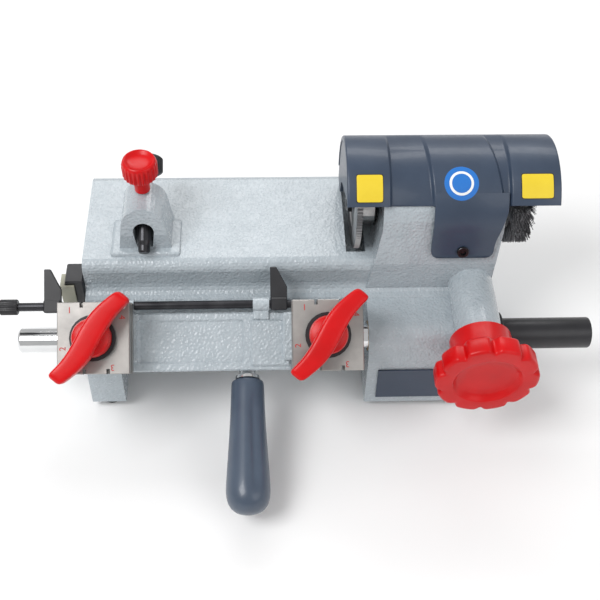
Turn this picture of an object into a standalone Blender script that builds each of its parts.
"""Key duplicating machine: a cast base with tracer tower and cutter head, and a tilting clamp carriage.

Lengths are in millimetres in a working frame whose X axis is the carriage shaft, with +Z up and
the operator at -Y. The root empty moves that frame so that the machine stands on Z = 0.
"""

import math

import bmesh
import bpy
from mathutils import Matrix, Vector

MM = 0.001
GAP = 0.3
ROOT = Vector((1.0, -5.55, 64.0))  # where the shaft's axis lies above the machine's footprint

SHAFT_RADIUS = 9.0
SHAFT_ENDS = (-203.0, 150.0)
LEAN = math.radians(36)  # how far the clamps lean towards the operator

BASE_LEFT, BASE_RIGHT = -157.0, 141.0
BASE_BACK = 127.0
BASE_FLOOR = -58.0
BASE_TOP = 41.0
LEDGE_Y, LEDGE_Z = 24.0, 14.0
ARM_LEFT, ARM_RIGHT = 48.0, 141.0
NOSE_RADIUS = 13.8
LEG_LEFT, LEG_RIGHT = -157.0, -132.0
LEG_RADIUS = 13.0
BUSH_RADIUS = 11.0

AXIS_Y, AXIS_Z = 79.0, 64.0  # the spindle's axis, parallel to X
HOOD_LEFT, HOOD_RIGHT = 31.0, 180.0
HOOD_RADIUS, HOOD_WALL = 44.0, 3.0
HEAD_RADIUS = 39.6
TONGUE_LEFT, TONGUE_RIGHT, TONGUE_Z = 92.0, 137.0, 49.0
TONGUE_TURN = Matrix.Rotation(math.radians(72), 4, "X")  # its face leans back 18 degrees
HOOD_SCREW = Vector((114.5, 32.4, 54.5))
CUTTER_RADIUS = 38.0
PULLEY_RADIUS, MOTOR_PULLEY_RADIUS = 20.0, 14.0
MOTOR_Y, MOTOR_Z, MOTOR_RADIUS = 74.0, -18.0, 28.0
PULLEY_X = 106.0

WHEEL_X, WHEEL_Z = 125.0, 19.0  # the handwheel's axis, parallel to Y
BOSS_RADIUS = 16.5
PINION_RADIUS = 9.5

TRACER_X = -112.0
TRACER_TIP = Vector((TRACER_X, 40.0, 48.0))
TRACER_RISE = math.radians(28)
LOCK_Y = 72.5

CLAMP_X = (-143.5, 16.5)
JAW_HALF = 24.5
LOWER_JAW = (22.0, 33.0)
UPPER_JAW = (33.5, 43.5)
STUD_RADIUS, STUD_HOLE = 6.0, 6.4
WING_TURN = math.radians(50)
GAUGE_V, GAUGE_W = 23.0, 17.0
GAUGE_ROD_RADIUS, LUG_RADIUS, FINGER_HUB_HALF = 3.0, 4.9, 6.0
FINGER_X = (-176.0, -16.5)
HANDLE_START = Vector((-39.6, -24.3, 2.5))
HANDLE_TURN = Matrix.Rotation(math.radians(90 - 19.8), 4, "X")

# Outline planes: the columns are where the outline's x, y and the extrusion go.
SIDE = Matrix(((0, 0, 1), (1, 0, 0), (0, 1, 0))).to_4x4()
FRONT = Matrix(((1, 0, 0), (0, 0, -1), (0, 1, 0))).to_4x4()
ALONG_X = Matrix.Rotation(math.radians(90), 4, "Y")
ALONG_Y = Matrix.Rotation(math.radians(-90), 4, "X")
UPRIGHT = Matrix.Identity(4)

for old in list(bpy.data.objects):
    bpy.data.objects.remove(old, do_unlink=True)

parts = bpy.data.collections.new("key_duplicating_machine")
cutters = bpy.data.collections.new("cutters")
bpy.context.scene.collection.children.link(parts)
bpy.context.scene.collection.children.link(cutters)


def material(name, colour, roughness, metallic):
    made = bpy.data.materials.new(name)
    made.use_nodes = True
    shader = made.node_tree.nodes["Principled BSDF"]
    shader.inputs["Base Color"].default_value = (*colour, 1)
    shader.inputs["Roughness"].default_value = roughness
    shader.inputs["Metallic"].default_value = metallic
    return made


CASTING = material("casting_paint", (0.47, 0.53, 0.58), 0.45, 0.0)
SLATE = material("slate_plastic", (0.07, 0.09, 0.13), 0.4, 0.0)
RED = material("red_plastic", (0.75, 0.01, 0.02), 0.35, 0.0)
BLACK = material("black_plastic", (0.015, 0.015, 0.018), 0.4, 0.0)
STEEL = material("ground_steel", (0.55, 0.54, 0.52), 0.35, 1.0)
CHROME = material("chromed_steel", (0.8, 0.8, 0.8), 0.12, 1.0)
DARK_STEEL = material("dark_steel", (0.07, 0.07, 0.08), 0.3, 1.0)
RUBBER = material("black_rubber", (0.02, 0.02, 0.02), 0.8, 0.0)
BRISTLE = material("bristle", (0.12, 0.12, 0.13), 0.9, 0.0)
BROWN = material("brown_wood", (0.08, 0.035, 0.02), 0.5, 0.0)
BRONZE = material("bronze", (0.5, 0.3, 0.12), 0.4, 1.0)
KHAKI = material("khaki_metal", (0.45, 0.44, 0.36), 0.5, 0.0)


def empty(name, parent, location=(0, 0, 0), rotation=None):
    made = bpy.data.objects.new(name, None)
    made.empty_display_size = 20 * MM
    parts.objects.link(made)
    made.parent = parent
    made.location = Vector(location) * MM
    if rotation is not None:
        made.rotation_euler = rotation.to_euler()
    return made


def from_bmesh(name, bm, paint, parent, origin=(0, 0, 0), tool=False, smooth=True):
    """Makes an object from a mesh given in its parent's frame, with its origin at the given point."""
    origin = Vector(origin)
    bmesh.ops.transform(bm, matrix=Matrix.Scale(MM, 4) @ Matrix.Translation(-origin), verts=bm.verts)
    bmesh.ops.recalc_face_normals(bm, faces=bm.faces)
    mesh = bpy.data.meshes.new(name)
    bm.to_mesh(mesh)
    bm.free()
    if smooth:
        mesh.shade_smooth()
        mesh.set_sharp_from_angle(angle=math.radians(35))
    return place(name, mesh, paint, parent, origin, tool)


def place(name, mesh, paint, parent, origin, tool, rotation=None):
    made = bpy.data.objects.new(name, mesh)
    made.data.materials.append(paint)
    (cutters if tool else parts).objects.link(made)
    made.parent = parent
    made.location = Vector(origin) * MM
    if rotation is not None:
        made.rotation_euler = rotation.to_euler()
    if tool:
        made.hide_render = True
        made.display_type = "WIRE"
    return made


def bevel(obj, width, segments=2, angle=40):
    changed = obj.modifiers.new("edges", "BEVEL")
    changed.width = width * MM
    changed.segments = segments
    changed.limit_method = "ANGLE"
    changed.angle_limit = math.radians(angle)
    return obj


def boolean(obj, tool, operation):
    changed = obj.modifiers.new(tool.name, "BOOLEAN")
    changed.object = tool
    changed.operation = operation
    changed.solver = "EXACT"
    return obj


def cut(obj, *tools):
    for tool in tools:
        boolean(obj, tool, "DIFFERENCE")
    return obj


def join(obj, *tools):
    for tool in tools:
        boolean(obj, tool, "UNION")
    return obj


def box(name, low, high, paint, parent, origin=(0, 0, 0), tool=False):
    low, high = Vector(low), Vector(high)
    bm = bmesh.new()
    bmesh.ops.create_cube(bm, size=1)
    size = Matrix.Diagonal((*(high - low), 1))
    bmesh.ops.transform(bm, matrix=Matrix.Translation((low + high) / 2) @ size, verts=bm.verts)
    return from_bmesh(name, bm, paint, parent, origin, tool, smooth=False)


def rod(name, start, end, radius, paint, parent, origin=None, tool=False, sides=24, end_radius=None):
    start, end = Vector(start), Vector(end)
    bm = bmesh.new()
    bmesh.ops.create_cone(
        bm,
        cap_ends=True,
        segments=sides,
        radius1=radius,
        radius2=radius if end_radius is None else end_radius,
        depth=(end - start).length,
    )
    turn = Vector((0, 0, 1)).rotation_difference(end - start).to_matrix().to_4x4()
    bmesh.ops.transform(bm, matrix=Matrix.Translation((start + end) / 2) @ turn, verts=bm.verts)
    return from_bmesh(name, bm, paint, parent, start if origin is None else origin, tool)


def prism(name, outline, low, high, plane, paint, parent, origin=(0, 0, 0), tool=False):
    """A flat outline, drawn in the given plane and extruded between two positions across it."""
    curve = bpy.data.curves.new(name, "CURVE")
    curve.dimensions = "2D"
    curve.fill_mode = "BOTH"
    curve.extrude = (high - low) / 2
    spline = curve.splines.new("POLY")
    spline.points.add(len(outline) - 1)
    for point, (x, y) in zip(spline.points, outline):
        point.co = (x, y, 0, 1)
    spline.use_cyclic_u = True
    holder = bpy.data.objects.new(name + "_outline", curve)
    bpy.context.scene.collection.objects.link(holder)
    graph = bpy.context.evaluated_depsgraph_get()
    mesh = bpy.data.meshes.new_from_object(holder.evaluated_get(graph))
    bm = bmesh.new()
    bm.from_mesh(mesh)
    bpy.data.objects.remove(holder)
    bpy.data.meshes.remove(mesh)
    bmesh.ops.remove_doubles(bm, verts=bm.verts, dist=0.0001)
    middle = Vector((0, 0, (low + high) / 2))
    bmesh.ops.transform(bm, matrix=plane @ Matrix.Translation(middle), verts=bm.verts)
    return from_bmesh(name, bm, paint, parent, origin, tool)


def turned(name, profile, paint, parent, origin, turn, steps=24, ring=False, tool=False):
    """A profile of (radius, height) pairs turned about the local Z axis, listed from top to bottom."""
    mesh = bpy.data.meshes.new(name)
    count = len(profile)
    edges = [(i, i + 1) for i in range(count - 1)]
    if ring:
        edges.append((count - 1, 0))
    mesh.from_pydata([(r * MM, 0, z * MM) for r, z in profile], edges, [])
    made = place(name, mesh, paint, parent, origin, tool, turn)
    spin = made.modifiers.new("turn", "SCREW")
    spin.steps = steps
    spin.render_steps = steps
    spin.use_merge_vertices = True
    spin.merge_threshold = 0.00001
    spin.use_smooth_shade = True
    return made


def hollow(outer, inner, low, high):
    """The profile of a plain ring."""
    return [(inner, high), (outer, high), (outer, low), (inner, low)]


def arc(centre, radius, start, end, count):
    """Points on an arc, with the angles in degrees from the outline's x axis."""
    angles = [math.radians(start + (end - start) * i / (count - 1)) for i in range(count)]
    return [(centre[0] + radius * math.cos(a), centre[1] + radius * math.sin(a)) for a in angles]


def belt_outline(extra):
    """The outline of a belt round both pulleys, at a distance from their rims."""
    first, second = (AXIS_Y, AXIS_Z), (MOTOR_Y, MOTOR_Z)
    big, small = PULLEY_RADIUS + extra, MOTOR_PULLEY_RADIUS + extra
    down = math.degrees(math.atan2(second[1] - first[1], second[0] - first[0]))
    spread = math.degrees(math.acos((big - small) / math.dist(first, second)))
    upper = arc(first, big, down + spread, down + 360 - spread, 17)
    lower = arc(second, small, down - spread, down + spread, 11)
    return upper + lower


root = empty("machine", None, ROOT)
shaft_slide = empty("shaft_slide", root)
carriage_tilt = empty("carriage_tilt", shaft_slide, rotation=Matrix.Rotation(LEAN, 4, "X"))
gauge_flip = empty("gauge_flip", carriage_tilt, (0, GAUGE_V, GAUGE_W))
wheel_turn = empty("wheel_turn", root, (WHEEL_X, 0, WHEEL_Z))
spindle_turn = empty("spindle_turn", root, (0, AXIS_Y, AXIS_Z))
motor_turn = empty("motor_turn", root, (0, MOTOR_Y, MOTOR_Z))
tracer_turn = Matrix.Rotation(math.radians(90) + TRACER_RISE, 4, "X") @ Matrix.Rotation(math.pi, 4, "Y")
tracer_slide = empty("tracer_slide", root, TRACER_TIP, tracer_turn)


def side_tool(name, outline, low, high):
    return prism(name, outline, low, high, SIDE, CASTING, root, tool=True)


def base_housing():
    """The long hollow housing, its ledge, and the block under the head."""
    outline = [
        (LEDGE_Y, BASE_FLOOR),
        (LEDGE_Y, LEDGE_Z - 1),
        (LEDGE_Y + 1, LEDGE_Z),
        (29.0, LEDGE_Z + 0.6),
        (31.6, LEDGE_Z + 2.0),
        (33.3, LEDGE_Z + 4.2),
        (34.0, LEDGE_Z + 7.0),
        (34.0, 32.5),
        *arc((42.0, 32.8), 8.2, 175, 95, 6),
        (BASE_BACK - 6, BASE_TOP),
        (BASE_BACK - 1.5, BASE_TOP - 2),
        (BASE_BACK, BASE_TOP - 6),
        (BASE_BACK, BASE_FLOOR),
    ]
    return prism("base_casting", outline, BASE_LEFT, BASE_RIGHT, SIDE, CASTING, root)


def head_block():
    """The head under the hood: a rounded top around the spindle, tapered towards the ledge."""
    outline = [(31.5, LEDGE_Z), (32.8, BASE_TOP), (38.5, 62.0)]
    outline += arc((AXIS_Y, AXIS_Z), HEAD_RADIUS, 162, 8, 15)
    outline += [(120.0, LEDGE_Z)]
    head = side_tool("head_block", outline, 45.0, 144.0)
    taper = [(46.5, 5.0), (57.0, 68.0), (57.0, 112.0), (143.0, 112.0), (143.0, 66.0), (137.5, 5.0)]
    limit = prism("head_taper", taper, -125.0, -30.0, FRONT, CASTING, root, tool=True)
    boolean(head, limit, "INTERSECT")
    return head


def right_arm():
    outline = [(LEDGE_Y + 4, LEDGE_Z - 0.4), (0.0, NOSE_RADIUS)]
    outline += arc((0, 0), NOSE_RADIUS, 100, 165, 9)
    outline += [(-18.0, -8.0), (-21.5, BASE_FLOOR + 3), (-19.0, BASE_FLOOR), (LEDGE_Y + 4, BASE_FLOOR)]
    return side_tool("right_arm", outline, ARM_LEFT, ARM_RIGHT)


def left_leg():
    outline = arc((0, 0), LEG_RADIUS, 35, 190, 10)
    outline += [(-17.0, BASE_FLOOR + 2), (-15.0, BASE_FLOOR), (LEDGE_Y + 4, BASE_FLOOR), (LEDGE_Y + 4, -24.0)]
    outline += [(12.5, -20.0)]
    return side_tool("left_leg", outline, LEG_LEFT, LEG_RIGHT)


def tracer_tower():
    centre = (TRACER_X, 63.5)
    outline = [(TRACER_X - 20, BASE_TOP - 4), (TRACER_X + 20, BASE_TOP - 4), (TRACER_X + 18.5, BASE_TOP + 3)]
    outline += arc(centre, 15.5, 8, 172, 15)
    outline += [(TRACER_X - 18.5, BASE_TOP + 3)]
    tower = prism("tower", outline, -82.0, -49.0, FRONT, CASTING, root, tool=True)
    bevel(tower, 3.0, 2, 50)
    slope = [(44.5, 30.0), (54.5, 90.0), (79.5, 90.0), (84.0, 30.0)]
    limit = side_tool("tower_slope", slope, TRACER_X - 30, TRACER_X + 30)
    boolean(tower, limit, "INTERSECT")
    return tower


def tower_pad():
    """The raised pad at the foot of the tower, with rounded corners."""
    low, high = (TRACER_X - 25, 43, BASE_TOP - 4), (TRACER_X + 25, 78, BASE_TOP + 2.4)
    pad = box("tower_pad", low, high, CASTING, root, tool=True)
    return bevel(pad, 2.0, 2)


def along_tracer(distance):
    return TRACER_TIP + Vector((0, math.cos(TRACER_RISE), math.sin(TRACER_RISE))) * distance


def base_casting():
    base = base_housing()
    front, back = (WHEEL_X, -24, WHEEL_Z), (WHEEL_X, 48, WHEEL_Z)
    boss = rod("wheel_boss", front, back, BOSS_RADIUS, CASTING, root, tool=True, sides=40)
    join(base, head_block(), right_arm(), left_leg(), tower_pad(), tracer_tower(), boss)
    cavity = box("motor_cavity", (-149, 32, -70), (133, 119, 11), CASTING, root, tool=True)
    upper_cavity = box("upper_cavity", (-149, 42, 5), (28, 119, 33), CASTING, root, tool=True)
    pocket = box("pulley_pocket", (96, 50, 5), (116, 110, 92), CASTING, root, tool=True)
    arch = [(TRACER_X + 5.5, 44.5), *arc((TRACER_X, 59.5), 7.5, 0, 180, 11), (TRACER_X - 5.5, 44.5)]
    slot = prism("tracer_slot", arch, -68, -40, FRONT, CASTING, root, tool=True)
    bores = [
        ("shaft_bore", (-160, 0, 0), (150, 0, 0), BUSH_RADIUS + 2 * GAP),
        ("cutter_well", (33, AXIS_Y, AXIS_Z), (47, AXIS_Y, AXIS_Z), CUTTER_RADIUS + 3),
        ("flange_well", (42, AXIS_Y, AXIS_Z), (56, AXIS_Y, AXIS_Z), 21.5),
        ("spindle_bore", (50, AXIS_Y, AXIS_Z), (150, AXIS_Y, AXIS_Z), 15 + 2 * GAP),
        ("pinion_bore", (WHEEL_X, -30, WHEEL_Z), (WHEEL_X, 14, WHEEL_Z), PINION_RADIUS + 1.5),
        ("tracer_bore", along_tracer(-5), along_tracer(70), 6.0),
        ("lock_bore", (TRACER_X, LOCK_Y, 66), (TRACER_X, LOCK_Y, 90), 3.5),
    ]
    tools = [rod(name, start, end, radius, CASTING, root, tool=True) for name, start, end, radius in bores]
    return cut(base, cavity, upper_cavity, pocket, slot, *tools)


def bush(name, low, high):
    profile = hollow(BUSH_RADIUS, SHAFT_RADIUS + GAP, low, high)
    return turned(name, profile, BRONZE, root, (0, 0, 0), ALONG_X, ring=True)


def frame_parts():
    base_casting()
    bush("left_bush", LEG_LEFT, LEG_RIGHT)
    bush("right_bush", ARM_LEFT, ARM_LEFT + 30)
    plate = box(
        "bottom_plate",
        (BASE_LEFT + 3, 27, BASE_FLOOR - 2 - GAP),
        (BASE_RIGHT - 3, BASE_BACK - 3, BASE_FLOOR - GAP),
        DARK_STEEL,
        root,
    )
    bevel(plate, 0.5, 1)
    feet = [(-144, -6, 0), (112, -6, 0), (-142, 112, 2 + GAP), (126, 112, 2 + GAP)]
    for number, (x, y, lift) in enumerate(feet, 1):
        top = BASE_FLOOR - GAP - lift
        profile = [(0, top), (7, top), (8, top - 1), (7, BASE_FLOOR - 6), (0, BASE_FLOOR - 6)]
        turned(f"foot_{number}", profile, RUBBER, root, (x, y, 0), UPRIGHT, 24)
    slope = [(-19.1, -17.0), (-20.1, -17.0), (-22.2, -48.0), (-21.2, -48.0)]
    prism("nameplate", slope, 56.0, 126.0, SIDE, SLATE, root)
    side_block = box("side_block", (-170.5, 30.5, 4), (BASE_LEFT - GAP, 49, 28), BLACK, root)
    bevel(side_block, 1.0, 1)
    wedge = [(-174.0, 28.6), (-164.0, 28.6), (-164.0, 30.2)]
    wedge += [(-170.8, 30.2), (-170.8, 41.0), (-174.0, 41.0)]
    prism("side_bracket", wedge, 7.0, 25.0, UPRIGHT, KHAKI, root)
    inlet = box("mains_inlet", (-120, BASE_BACK + GAP, -34), (-88, BASE_BACK + 6, -10), BLACK, root)
    low, high = (-116, BASE_BACK + 2, -30), (-92, BASE_BACK + 8, -14)
    socket = box("inlet_socket", low, high, BLACK, root, tool=True)
    cut(inlet, socket)


def guard_tube():
    left, right = 145.0, 211.0
    outer, inner, flange = 11.3, 9.8, 16.0
    profile = [
        (0, right),
        (outer - 1, right),
        (outer, right - 1),
        (outer, left + 0.2),
        (flange, left + 0.2),
        (flange, ARM_RIGHT + 2 * GAP),
        (inner, ARM_RIGHT + 2 * GAP),
        (inner, right - 2),
        (0, right - 2),
    ]
    turned("guard_tube", profile, BLACK, root, (0, 0, 0), ALONG_X)


def cutter_hood():
    axis = (AXIS_Y, AXIS_Z)
    inner = HOOD_RADIUS - HOOD_WALL
    shell = arc(axis, HOOD_RADIUS, 145, -10, 33) + arc(axis, inner, -10, 145, 33)
    hood = prism("cutter_hood", shell, HOOD_LEFT, HOOD_RIGHT, SIDE, SLATE, root)
    panel = arc(axis, inner + 1.7, 142, -8, 29)
    left = side_tool("hood_left_panel", panel, HOOD_LEFT + 0.4, HOOD_LEFT + 2.9)
    right = side_tool("hood_right_panel", panel, HOOD_RIGHT - 2.9, HOOD_RIGHT - 0.4)
    tongue_outline = [
        (31.0, TONGUE_Z),
        (33.3, TONGUE_Z),
        (37.6, 62.0),
        (40.4, 76.0),
        (43.6, 84.0),
        (46.0, 88.0),
        (44.0, 90.5),
        (38.0, 78.0),
        (35.2, 62.0),
    ]
    tongue = side_tool("hood_tongue", tongue_outline, TONGUE_LEFT, TONGUE_RIGHT)
    corners = [(TONGUE_LEFT - 1, 95.0)]
    corners += arc((TONGUE_LEFT + 5, TONGUE_Z + 5.2), 5, 180, 270, 6)
    corners += arc((TONGUE_RIGHT - 5, TONGUE_Z + 5.2), 5, 270, 360, 6)
    corners += [(TONGUE_RIGHT + 1, 95.0)]
    limit = prism("tongue_limit", corners, -60, -20, FRONT, SLATE, root, tool=True)
    boolean(tongue, limit, "INTERSECT")
    join(hood, left, right, tongue)
    groove = arc(axis, HOOD_RADIUS + 3, 132, 12, 21) + arc(axis, HOOD_RADIUS - 1.5, 12, 132, 31)
    wide = side_tool("hood_wide_groove", groove, 61.0, 92.0)
    narrow = side_tool("hood_narrow_groove", groove, 137.0, 145.0)
    outward = TONGUE_TURN.to_3x3() @ Vector((0, 0, 5))
    inside, outside = HOOD_SCREW - outward, HOOD_SCREW + outward
    hole = rod("hood_screw_hole", inside, outside, 2.4, SLATE, root, tool=True, sides=16)
    cut(hood, wide, narrow, hole)
    profile = [(0, 3), (3.5, 3), (4, 2.4), (4, 0), (2, 0), (2, -2.2), (0, -2.2)]
    turned("hood_screw", profile, DARK_STEEL, root, HOOD_SCREW, TONGUE_TURN, 24)


def spindle_parts():
    def wheel(name, profile, paint, steps=24, ring=False):
        return turned(name, profile, paint, spindle_turn, (0, 0, 0), ALONG_X, steps, ring)

    shaft = [(0, 169), (7, 169), (7.5, 168), (7.5, 34.8), (0, 34.8)]
    wheel("spindle", shaft, STEEL, 20)
    bore = 7.5 + GAP
    wheel("left_bearing", hollow(15, bore, 57.3, 68), STEEL, ring=True)
    wheel("right_bearing", hollow(15, bore, 130, 142.7), STEEL, ring=True)
    cutter = [
        (bore, 43),
        (CUTTER_RADIUS - 3, 43),
        (CUTTER_RADIUS, 41),
        (CUTTER_RADIUS, 39),
        (CUTTER_RADIUS - 1, 38),
        (bore, 38),
    ]
    wheel("cutter", cutter, STEEL, 48, True)
    wheel("cutter_flange", hollow(20, bore, 43.3, 53), STEEL, ring=True)
    wheel("cutter_nut", hollow(11.5, bore * 1.16, 34.6, 37.7), DARK_STEEL, 6, True)
    wheel("spindle_pulley", hollow(PULLEY_RADIUS, bore, PULLEY_X - 6, PULLEY_X + 6), DARK_STEEL, ring=True)
    wheel("brush_hub", hollow(14, bore, 145.5, 167), BROWN, ring=True)
    brush = [
        (14.3, 163),
        (32, 166.5),
        (35, 165),
        (34.2, 158),
        (35, 149),
        (32, 147),
        (14.3, 150),
    ]
    wheel("brush", brush, BRISTLE, 28, True)


def motor_parts():
    shell = [(0, 92), (14, 92), (16, 88), (26, 86), (MOTOR_RADIUS, 83)]
    shell += [(MOTOR_RADIUS, -48), (25, -52), (0, -52)]
    motor = turned("motor", shell, DARK_STEEL, root, (0, MOTOR_Y, MOTOR_Z), ALONG_X)
    inside, outside = (60, MOTOR_Y, MOTOR_Z), (100, MOTOR_Y, MOTOR_Z)
    bore = rod("motor_bore", inside, outside, 5.4, BLACK, root, tool=True, sides=16)
    cut(motor, bore)
    end = PULLEY_X + 8
    shaft = [(0, end), (5, end), (5, 64), (0, 64)]
    turned("motor_shaft", shaft, STEEL, motor_turn, (0, 0, 0), ALONG_X, 24)
    rim = hollow(MOTOR_PULLEY_RADIUS, 5 + GAP, PULLEY_X - 6, PULLEY_X + 6)
    turned("motor_pulley", rim, DARK_STEEL, motor_turn, (0, 0, 0), ALONG_X, ring=True)
    belt = prism("drive_belt", belt_outline(3.0), PULLEY_X - 5, PULLEY_X + 5, SIDE, RUBBER, root)
    inside = side_tool("belt_inside", belt_outline(0.5), PULLEY_X - 7, PULLEY_X + 7)
    cut(belt, inside)


def tracer_parts():
    pin = [(0, 56), (4.5, 56), (5.4, 55), (5.4, 8), (4.2, 5), (4.2, 1), (3.4, 0), (0, 0)]
    turned("tracer_pin", pin, DARK_STEEL, tracer_slide, (0, 0, 0), UPRIGHT, 20)
    grip = [(0, 71), (11.5, 71), (13.2, 69.5), (13.2, 61), (11.5, 59.5), (7, 59), (7, 56.3), (0, 56.3)]
    turned("tracer_adjuster", grip, BLACK, tracer_slide, (0, 0, 0), UPRIGHT, 24)
    lock = [(0, 105), (9, 105), (11, 107.6), (12.7, 106.2), (12.7, 96), (10.5, 93.6), (6, 92.8)]
    lock += [(5.5, 80), (3.2, 79.4), (3.2, 74), (0, 74)]
    turned("lock_knob", lock, RED, root, (TRACER_X, LOCK_Y, 0), UPRIGHT, 24)


def gear(name, teeth, tip, root_radius, low, high, paint, parent):
    """A spur gear outline with straight flanks, extruded along the machine's Y axis."""
    outline = []
    for tooth in range(teeth):
        middle = 360 * tooth / teeth
        for radius, shift in ((root_radius, -0.34), (tip, -0.18), (tip, 0.18), (root_radius, 0.34)):
            angle = math.radians(middle + shift * 360 / teeth)
            outline.append((radius * math.cos(angle), radius * math.sin(angle)))
    return prism(name, outline, low, high, FRONT, paint, parent)


def handwheel_parts():
    gear("pinion", 14, PINION_RADIUS, PINION_RADIUS - 2.2, -8, 8, STEEL, wheel_turn)
    stem = [(0, 41), (6, 41), (6, 8.3), (0, 8.3)]
    turned("wheel_stem", stem, STEEL, wheel_turn, (0, 0, 0), ALONG_Y @ Matrix.Rotation(math.pi, 4, "X"), 24)
    lobes = 10
    outline = []
    for step in range(lobes * 6):
        angle = 2 * math.pi * step / (lobes * 6)
        radius = 36.0 - 2.6 * (0.5 - 0.5 * math.cos(lobes * angle)) ** 2
        outline.append((radius * math.cos(angle), radius * math.sin(angle)))
    rim = prism("handwheel", outline, 35, 56, FRONT, RED, wheel_turn)
    bevel(rim, 5.0, 2, 60)
    collar = [(0, 36), (22, 36), (23.5, 34), (22.5, 25.5), (20, 24.5), (0, 24.5)]
    turn = ALONG_Y @ Matrix.Rotation(math.pi, 4, "X")
    collar = turned("wheel_collar", collar, RED, wheel_turn, (0, 0, 0), turn, 28, tool=True)
    dish = rod("wheel_dish", (0, -52, 0), (0, -63, 0), 19, RED, wheel_turn, tool=True, end_radius=24)
    hole = rod("wheel_hole", (0, -20, 0), (0, -41.5, 0), 6.4, RED, wheel_turn, tool=True)
    join(rim, collar)
    cut(rim, dish, hole)


def rack_grooves(shaft):
    """Straight rack teeth along the shaft's upper side, where the pinion runs."""
    pitch = 2 * math.pi * 10 / 14
    first = 84.0
    for index in range(12):
        x = first + pitch * index
        low, high = (x - 1.1, -6, SHAFT_RADIUS - 2.2), (x + 1.1, 6, SHAFT_RADIUS + 2)
        cut(shaft, box(f"rack_gap_{index}", low, high, CHROME, shaft_slide, tool=True))


def carriage_shaft():
    left, right = SHAFT_ENDS
    edge = SHAFT_RADIUS - 1.5
    profile = [(0, right), (edge, right), (SHAFT_RADIUS, right - 1.5)]
    profile += [(SHAFT_RADIUS, left + 1.5), (edge, left), (0, left)]
    shaft = turned("carriage_shaft", profile, CHROME, shaft_slide, (0, 0, 0), ALONG_X, 24)
    rack_grooves(shaft)


def along_handle(distance):
    return HANDLE_START + HANDLE_TURN.to_3x3() @ Vector((0, 0, distance))


def carriage_casting():
    """The carriage body on the shaft, the bridges under both clamps, and the gauge lugs."""
    outline = [(-24, 15), (-23, 16), (16.5, 16), (17.5, 15), (17.5, -6), (12, -15), (-12, -15), (-24, -2)]
    body = prism("carriage_casting", outline, -122, -8, SIDE, CASTING, carriage_tilt)
    bevel(body, 1.2, 1, 50)

    def block(name, low, high, edge=1.2):
        return bevel(box(name, low, high, CASTING, carriage_tilt, tool=True), edge, 1)

    left = block("left_bridge", (-166, -17, 14.6), (-115, 17, 21.7))
    right = block("right_bridge", (-14, -17, 14.6), (39, 17, 21.7))
    raised = block("raised_panel", (-37, -21, 14), (-9, 12, 18))
    join(body, left, right, raised)
    for name, low, high in (("small_lug", -126, -119), ("large_lug", -35, -23.5)):
        left_end, right_end = (low, GAUGE_V, GAUGE_W), (high, GAUGE_V, GAUGE_W)
        lug = rod(name, left_end, right_end, LUG_RADIUS, CASTING, carriage_tilt, tool=True)
        web = block(name + "_web", (low, 12, 12.5), (high, GAUGE_V, 18), 0.8)
        join(body, lug, web)
    recess = block("panel_recess", (-117, -19, 14.4), (-41, 13, 30), 2.0)
    bore_radius = SHAFT_RADIUS + GAP
    bore = rod("carriage_bore", (-200, 0, 0), (60, 0, 0), bore_radius, CASTING, carriage_tilt, tool=True)
    left_end, right_end = (-200, GAUGE_V, GAUGE_W), (60, GAUGE_V, GAUGE_W)
    bore_radius = GAUGE_ROD_RADIUS + GAP
    gauge = rod("gauge_bore", left_end, right_end, bore_radius, CASTING, carriage_tilt, tool=True, sides=16)
    inner, outer = along_handle(-7), along_handle(3)
    socket = rod("handle_bore", inner, outer, 6 + GAP, CASTING, carriage_tilt, tool=True)
    cut(body, recess, bore, gauge, socket)


def handle_parts():
    """The handle leaves the carriage's front and drops a little towards the operator."""
    stem = [(0, 8), (8, 8), (9, 7.4), (9, 4.6), (6, 4.4), (6, -6), (0, -6)]
    turned("handle_stem", stem, CHROME, carriage_tilt, HANDLE_START, HANDLE_TURN, 20)
    grip = [(0, 104), (6, 103.2), (11, 100.5), (14.4, 96), (15.6, 90), (15.6, 84), (14.6, 70)]
    grip += [(13.2, 50), (12.3, 30), (11.8, 10), (11, 8.3), (0, 8.3)]
    handle = turned("handle_grip", grip, SLATE, carriage_tilt, HANDLE_START, HANDLE_TURN, 24)
    high = HANDLE_START + HANDLE_TURN.to_3x3() @ Vector((5.5, 14.5, 26))
    low = HANDLE_START + HANDLE_TURN.to_3x3() @ Vector((5.5, 16.5, 90))
    flute = rod("grip_flute", high, low, 4.0, SLATE, carriage_tilt, tool=True, sides=16)
    cut(handle, flute)


def jaw(name, centre, low, high, notch):
    """A square clamp jaw with a stepped groove along two edges."""
    size = JAW_HALF
    lowest, highest = (centre - size, -size, low), (centre + size, size, high)
    plate = box(name, lowest, highest, STEEL, carriage_tilt, (centre, 0, 0))
    bevel(plate, 0.5, 1)
    below, above = (centre, 0, low - 5), (centre, 0, high + 5)
    hole = rod(name + "_hole", below, above, STUD_HOLE, STEEL, carriage_tilt, tool=True)
    cut(plate, hole)
    edge = low if notch > 0 else high
    steps = ((0, size, 30, 2.5), (size, 0, 2.5, 30), (0, -size, 30, 2), (-size, 0, 2, 30))
    for number, (x, v, dx, dv) in enumerate(steps):
        lowest = (centre + x - dx, v - dv, edge - 2.0)
        highest = (centre + x + dx, v + dv, edge + 2.0)
        cut(plate, box(f"{name}_step_{number}", lowest, highest, STEEL, carriage_tilt, tool=True))
    slots = ((-8, size), (9, size), (-6, -size), (10, -size))
    for number, (x, v) in enumerate(slots):
        lowest = (centre + x - 1.2, v - 3.5, low - 1)
        highest = (centre + x + 1.2, v + 3.5, high + 1)
        cut(plate, box(f"{name}_slot_{number}", lowest, highest, STEEL, carriage_tilt, tool=True))


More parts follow.
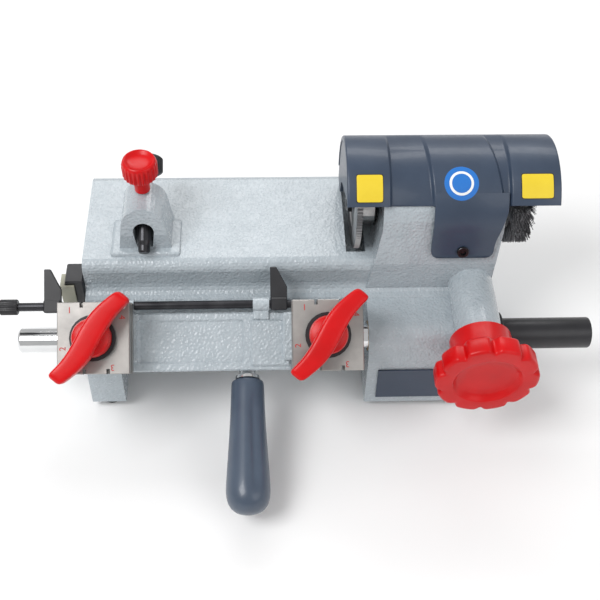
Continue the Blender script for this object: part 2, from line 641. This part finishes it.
def wing_outline():
    """A gently S-curved bar with round ends, drawn along the outline's x axis."""
    half_length, half_width, sweep, steps = 37.0, 7.6, 2.6, 8
    upper, lower = [], []
    for step in range(steps + 1):
        x = -half_length + 7 + (2 * half_length - 14) * step / steps
        bend = sweep * math.sin(math.pi * x / half_length)
        width = half_width * (0.78 + 0.22 * math.cos(math.pi * x / (1.4 * half_length)))
        upper.append((x, bend + width))
        lower.append((x, bend - width))
    top, bottom = upper[-1][1], lower[-1][1]
    right = [(half_length - 1, bottom + 1.2), (half_length, top - 5), (half_length - 1, top - 2)]
    left = [(-x, -y) for x, y in right]
    return upper[::-1] + left + lower + right


def clamp(side, centre):
    jaw(f"lower_jaw_{side}", centre, *LOWER_JAW, -1)
    jaw(f"upper_jaw_{side}", centre, *UPPER_JAW, 1)
    stud = [(0, 58), (STUD_RADIUS, 58), (STUD_RADIUS, LOWER_JAW[0]), (0, LOWER_JAW[0])]
    turned(f"clamp_stud_{side}", stud, STEEL, carriage_tilt, (centre, 0, 0), UPRIGHT, 20)
    ring = hollow(15.8, STUD_HOLE, UPPER_JAW[1] + GAP, 46.5)
    turned(f"clamp_collar_{side}", ring, BLACK, carriage_tilt, (centre, 0, 0), UPRIGHT, 24, True)
    hub = [(0, 57), (11.5, 57), (13.3, 54), (13.3, 47.6), (12.5, 46.8), (0, 46.8)]
    knob = turned(f"wing_knob_{side}", hub, RED, carriage_tilt, (centre, 0, 0), UPRIGHT, 28)
    plane = Matrix.Translation((centre, 0, 0)) @ Matrix.Rotation(WING_TURN, 4, "Z")
    outline = wing_outline()
    bar = prism(f"wing_bar_{side}", outline, 51, 66, plane, RED, carriage_tilt, (centre, 0, 0), True)
    bevel(bar, 3.0, 2, 50)
    below, above = (centre, 0, 40), (centre, 0, 62)
    hole = rod(f"wing_hole_{side}", below, above, STUD_HOLE, RED, carriage_tilt, tool=True)
    join(knob, bar)
    cut(knob, hole)


def gauge_parts():
    left_end, right_end = (-200, 0, 0), (-8, 0, 0)
    origin = (0, 0, 0)
    rod("gauge_rod", left_end, right_end, GAUGE_ROD_RADIUS, DARK_STEEL, gauge_flip, origin, sides=16)
    gauge_knob()
    for side, centre in zip(("left", "right"), FINGER_X):
        outline = [(-6.0, -2.0), (6.0, -2.0), (6.0, 12.0), (-1.6, 26.5), (-6.0, 26.5)]
        plane = Matrix.Translation((centre, 0, 0))
        finger = prism(f"finger_{side}", outline, -1.7, 1.7, plane, BLACK, gauge_flip, (0, 0, 0))
        bevel(finger, 0.5, 1)
        half = FINGER_HUB_HALF
        low, high = (centre - half, -4.4, -4.4), (centre + half, 4.4, 4.4)
        hub = bevel(box(f"finger_hub_{side}", low, high, BLACK, gauge_flip, tool=True), 0.8, 1)
        low, high = (centre - 9, 0, 0), (centre + 9, 0, 0)
        radius = GAUGE_ROD_RADIUS + GAP
        hole = rod(f"finger_hole_{side}", low, high, radius, BLACK, gauge_flip, tool=True, sides=16)
        join(finger, hub)
        cut(finger, hole)


def gauge_knob():
    """The knurled end of the gauge rod."""
    teeth = 14
    outline = []
    for step in range(teeth * 2):
        angle = math.pi * step / teeth
        radius = 5.6 if step % 2 else 5.1
        outline.append((radius * math.cos(angle), radius * math.sin(angle)))
    prism("gauge_knob", outline, -213, -200.3, SIDE, BLACK, gauge_flip)


frame_parts()
guard_tube()
cutter_hood()
spindle_parts()
motor_parts()
tracer_parts()
handwheel_parts()
carriage_shaft()
carriage_casting()
handle_parts()
for clamp_side, clamp_centre in zip(("left", "right"), CLAMP_X):
    clamp(clamp_side, clamp_centre)
gauge_parts()
